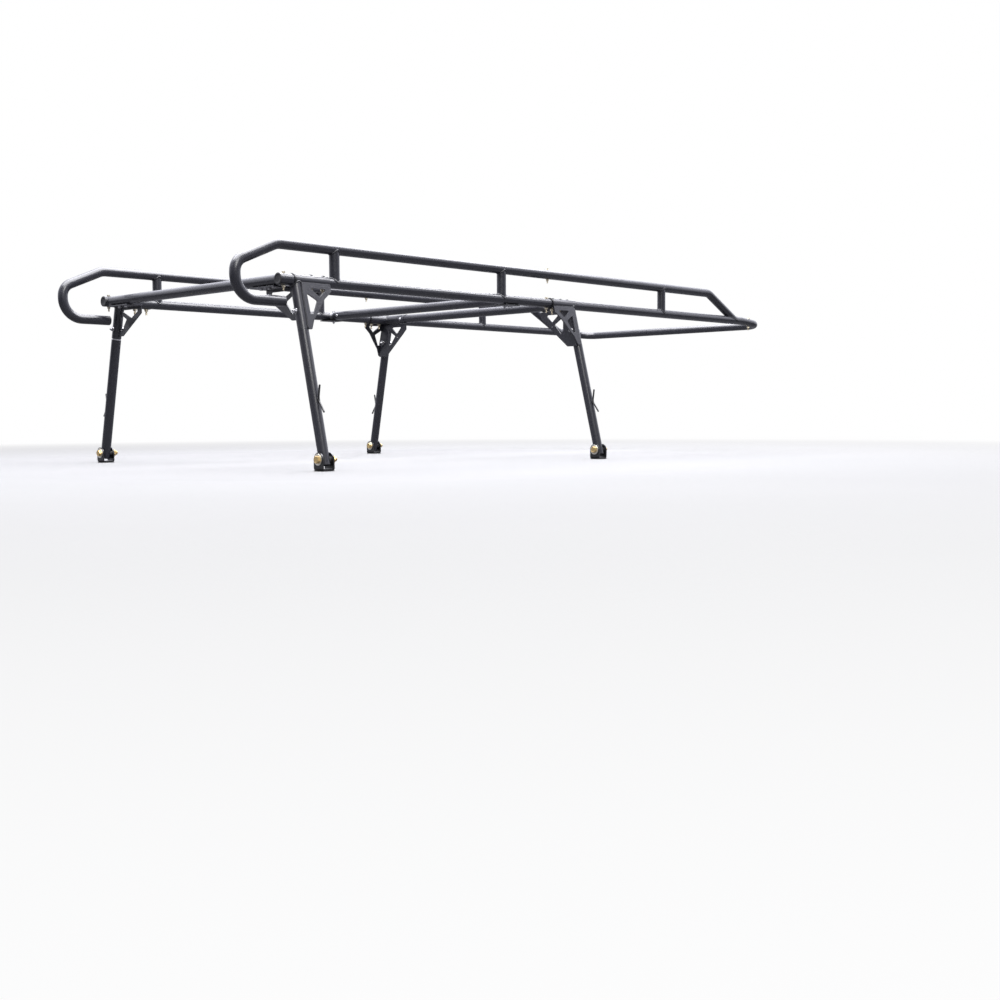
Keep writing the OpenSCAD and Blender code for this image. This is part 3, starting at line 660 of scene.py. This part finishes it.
IR = 0.01995
items = []
for side in (0, 1):
    S = MIR if side else Matrix.Identity(4)

    def f(nm, tm, S=S):
        M = S @ T(RH - 0.037, Y0 + BAR_B, RZ)
        washer(nm, 0.0042, 0.0085, 0.0016, M @ T(0, 0, IR + 0.0001))
        hexa(nm, 0.013, 0.0053, M @ T(0, 0, IR + 0.0018))
        shank(nm, 0.0040, -TR - 0.0050, IR + 0.0018, M)
        nut_set(nm, tm, 0.008, 0.013, 0.0068, 0.017, 0.0016, M @ T(0, 0, -TR - 0.0052), 0.0145, 0.00125)
        M = S @ T(RH - 0.090, Y0 + BAR_B, RZ) @ RX(math.pi / 2)
        dome(nm, 0.008, M @ T(0, 0, TR + 0.0001))
        nut_set(nm, tm, 0.008, 0.013, 0.0068, 0.017, 0.0016, M @ T(0, 0, -TR - 0.0001), 0.0172, 0.00125)
        M = S @ T(RH - 0.135, Y1 - BAR_C, RZ) @ RX(math.pi / 2)
        dome(nm, 0.008, M @ T(0, 0, SR + 0.0001))
        nut_set(nm, tm, 0.008, 0.013, 0.0068, 0.017, 0.0016, M @ T(0, 0, -SR - 0.0001), 0.0180, 0.00125)
        for x in (0.095, 0.150):
            M = S @ T(RH - x, Y0 + BAR_A, RZ - TR - 0.0062) @ RX(math.pi)
            washer(nm, 0.0042, 0.0085, 0.0014, M)
            hexa(nm, 0.013, 0.0053, M @ T(0, 0, 0.0014))
            shank(nm, 0.0040, -0.0165, 0.0, M)
    items.append(f)
build_pairs("crossbar_bolts_detail", ZINC, ZINC, "plain_zinc", "crossbar_bolts", items)

items = []
for side in (0, 1):
    S = MIR if side else Matrix.Identity(4)
    for front in (False, True):
        def f(nm, tm, S=S, front=front):
            M = S @ leg_frame(front) @ T(0, 0, -0.128) @ RZm(math.pi)
            A = M @ T(0, -TR - 0.0001, 0) @ RX(math.pi / 2)
            washer(nm, 0.0052, 0.011, 0.002, A)
            hexa(nm, 0.017, 0.0064, A @ T(0, 0, 0.0021))
            B = M @ T(0, TR + 0.0001 + (0.0061 if front else 0.0), 0) @ RX(math.pi / 2)
            nut_set(nm, tm, 0.010, 0.017, 0.008, 0.022, 0.002, B, 0.0163, 0.0015)
        items.append(f)
build_pairs("leg_bolts_detail", ZINC, ZINC, "plain_zinc", "leg_bolts", items)

# pivot bolts: each is one head, washer pair, nut and threaded end on its own foot
for c in ("rear_right", "rear_left", "front_right", "front_left"):
    x = FX if "right" in c else -FX
    y = F0 if "rear" in c else F1
    half = FL / 2
    head, nut, thr, rim = Mesh(), Mesh(), Mesh(), Mesh()
    turn = {"rear_right": 0.22, "rear_left": 0.55, "front_right": 0.05, "front_left": 0.8}[c]
    B = T(x, y - half, PZ) @ RX(math.pi / 2)
    hexa(head, 0.028, 0.0090, B @ T(0, 0, 0.0033) @ RZm(turn))
    revolve(head, [(0.0, 0.0032), (0.0135, 0.0032), (0.0135, 0.0040), (0.0, 0.0040)], B, 40)
    shank(head, 0.0100, -(FL + 0.018), 0.0034, B)
    Fm = T(x, y + half, PZ) @ RX(-math.pi / 2)
    washer(rim, 0.0103, 0.0235, 0.0031, B @ T(0, 0, 0.0001))
    washer(rim, 0.0103, 0.0235, 0.0031, Fm @ T(0, 0, 0.0001))
    hexa(nut, 0.028, 0.0150, Fm @ T(0, 0, 0.0033) @ RZm(turn + 0.3), bore=0.0092, both=True)
    thread(thr, 0.0099, 0.0004, 0.0287, 0.0025, Fm, 32, 7)
    head.build("pivot_bolt_%s_detail" % c, GOLD, "foot_" + c, "yellow_zinc", ("pivot_bolt_" + c,), 28)
    nut.build("pivot_nut_%s_detail" % c, GOLD, "foot_" + c, "yellow_zinc", ("pivot_nut_" + c,), 28)
    rim.build("pivot_washers_%s" % c, RIM, "foot_" + c, "yellow_zinc", (), 40)
    thr.build("pivot_thread_%s" % c, GOLD_DULL, "foot_" + c, "yellow_zinc", (), 60)

# end plugs with a rounded rim and a shallow dished face
caps = Mesh()
for side in (0, 1):
    S = MIR if side else Matrix.Identity(4)
    for P, ro, ri, deep in (
        (T(RH, Y0 - 0.060, RZ - 0.088) @ RX(-math.pi / 2), TR, TR - 0.0022, 0.014),
        (T(RH, Y0 - 0.084, RZ) @ RX(math.pi / 2), ST, IR, 0.0058),
    ):
        prof = [(0.0, 0.0016), (ro * 0.45, 0.0017), (ro * 0.62, 0.0021), (ro * 0.70, 0.0030), (ro * 0.90, 0.0030),
                (ro * 0.975, 0.0025), (ro, 0.0014), (ro, 0.0001), (ri, 0.0001), (ri, -deep), (ri * 0.8, -deep), (ri * 0.8, -0.001), (0.0, -0.001)]
        revolve(caps, prof, S @ P, 48)
caps.build("tube_end_caps_detail", PLASTIC, "rack", "black_plastic", ("tube_end_caps",), 40)


# ------------------------------------------------------------------ stage: floor, light, camera
def stage_material(name, seen, bounce):
    """Pale floor near the part that runs out to the white of the background."""
    g = Graph(name)
    lp = g.n("ShaderNodeLightPath")
    tone = g.rng(g.noise(0.6, 3.0), 0.3, 0.7, 0.985, 1.0)
    col = g.mix(lp.outputs["Is Camera Ray"], (bounce, bounce, bounce * 1.08), (seen, seen, seen))
    col = g.mix(g.math("SUBTRACT", 1.0, tone), col, (0.8, 0.8, 0.8))
    g.set("Base Color", col)
    g.set("Roughness", 0.9)
    g.set("Specular IOR Level", 0.0)
    geo = g.n("ShaderNodeNewGeometry")
    ln = g.n("ShaderNodeVectorMath", operation="LENGTH")
    g.l(geo.outputs["Position"], ln.inputs[0])
    far = g.math("MULTIPLY", g.rng(ln.outputs["Value"], 1.9, 6.0, 0.0, 1.0), lp.outputs["Is Camera Ray"])
    white = g.n("ShaderNodeEmission")
    mixer = g.n("ShaderNodeMixShader")
    g.l(far, mixer.inputs[0])
    g.l(g.p.outputs[0], mixer.inputs[1])
    g.l(white.outputs[0], mixer.inputs[2])
    g.l(mixer.outputs[0], g.out.inputs[0])
    return g.m


me = bpy.data.meshes.new("floor")
bm = bmesh.new()
bmesh.ops.create_circle(bm, cap_ends=True, segments=96, radius=90.0)
bm.to_mesh(me)
bm.free()
floor = bpy.data.objects.new("floor", me)
floor.location = (0, 0, -0.0004)
me.materials.append(stage_material("floor_pale", 0.215, 0.07))
SCENE.collection.objects.link(floor)

world = bpy.data.worlds.new("studio")
SCENE.world = world
world.use_nodes = True
nt = world.node_tree
nt.nodes.clear()
wo = nt.nodes.new("ShaderNodeOutputWorld")
seen = nt.nodes.new("ShaderNodeBackground")
lit = nt.nodes.new("ShaderNodeBackground")
mixs = nt.nodes.new("ShaderNodeMixShader")
lp = nt.nodes.new("ShaderNodeLightPath")
tc = nt.nodes.new("ShaderNodeTexCoord")
sp = nt.nodes.new("ShaderNodeSeparateXYZ")
ramp = nt.nodes.new("ShaderNodeValToRGB")
nt.links.new(tc.outputs["Generated"], sp.inputs[0])
mr = nt.nodes.new("ShaderNodeMapRange")
mr.inputs[1].default_value = -0.2
mr.inputs[2].default_value = 1.0
nt.links.new(sp.outputs[2], mr.inputs[0])
nt.links.new(mr.outputs[0], ramp.inputs[0])
el = ramp.color_ramp.elements
el[0].position, el[0].color = 0.0, (0.10, 0.10, 0.115, 1)
el[1].position, el[1].color = 1.0, (1.45, 1.45, 1.62, 1)
for pos, v in ((0.16, 0.34), (0.24, 0.62), (0.42, 0.85), (0.65, 1.1)):
    e = el.new(pos)
    e.color = (v * 0.97, v * 0.98, v * 1.08, 1)
nt.links.new(ramp.outputs[0], lit.inputs[0])
dot = nt.nodes.new("ShaderNodeVectorMath")
dot.operation = "DOT_PRODUCT"
dot.inputs[1].default_value = (-0.688, 0.726, 0.0)
nt.links.new(tc.outputs["Generated"], dot.inputs[0])
side_mr = nt.nodes.new("ShaderNodeMapRange")
for i, v in enumerate((-0.6, 0.9, 0.45, 1.9)):
    side_mr.inputs[i + 1].default_value = v
nt.links.new(dot.outputs["Value"], side_mr.inputs[0])
nt.links.new(side_mr.outputs[0], lit.inputs[1])
lit.inputs[1].default_value = 1.0
seen.inputs[0].default_value = (1, 1, 1, 1)
seen.inputs[1].default_value = 1.0
nt.links.new(lp.outputs["Is Camera Ray"], mixs.inputs[0])
nt.links.new(lit.outputs[0], mixs.inputs[1])
nt.links.new(seen.outputs[0], mixs.inputs[2])
nt.links.new(mixs.outputs[0], wo.inputs[0])


def area(name, loc, target, size, power, color):
    d = bpy.data.lights.new(name, "AREA")
    d.shape = "RECTANGLE"
    d.size, d.size_y = size
    d.energy = power
    d.color = color
    o = bpy.data.objects.new(name, d)
    o.location = loc
    o.rotation_euler = (Vector(target) - Vector(loc)).to_track_quat("-Z", "Y").to_euler()
    SCENE.collection.objects.link(o)
    return o


area("top_soft", (0.2, 0.6, 4.2), (0.2, 0.6, 0), (5.5, 8.0), 1150, (0.97, 0.97, 1.0))
area("key_right", (4.6, -2.2, 3.4), (0.2, 0.4, 0.5), (2.4, 2.0), 110, (1.0, 0.99, 0.97))

yaw, pit, rol = math.radians(43.46), math.radians(-3.77), math.radians(-0.35)
fwd = Vector((-math.sin(yaw) * math.cos(pit), math.cos(yaw) * math.cos(pit), math.sin(pit)))
right = Vector((math.cos(yaw), math.sin(yaw), 0))
up = right.cross(fwd)
r2 = right * math.cos(rol) + up * math.sin(rol)
u2 = up * math.cos(rol) - right * math.sin(rol)
cam = bpy.data.objects.new("camera", bpy.data.cameras.new("camera"))
cam.data.sensor_width = 36.0
cam.data.lens = 1265.06 / 1000.0 * 36.0
cam.data.clip_end = 300.0
cam.matrix_world = Matrix((
    (r2.x, u2.x, -fwd.x, 4.7883),
    (r2.y, u2.y, -fwd.y, -4.0128),
    (r2.z, u2.z, -fwd.z, 0.2110),
    (0, 0, 0, 1)))
SCENE.collection.objects.link(cam)
SCENE.camera = cam
SCENE.view_settings.view_transform = "Standard"
SCENE.view_settings.look = "None"
SCENE.view_settings.exposure = 0.0
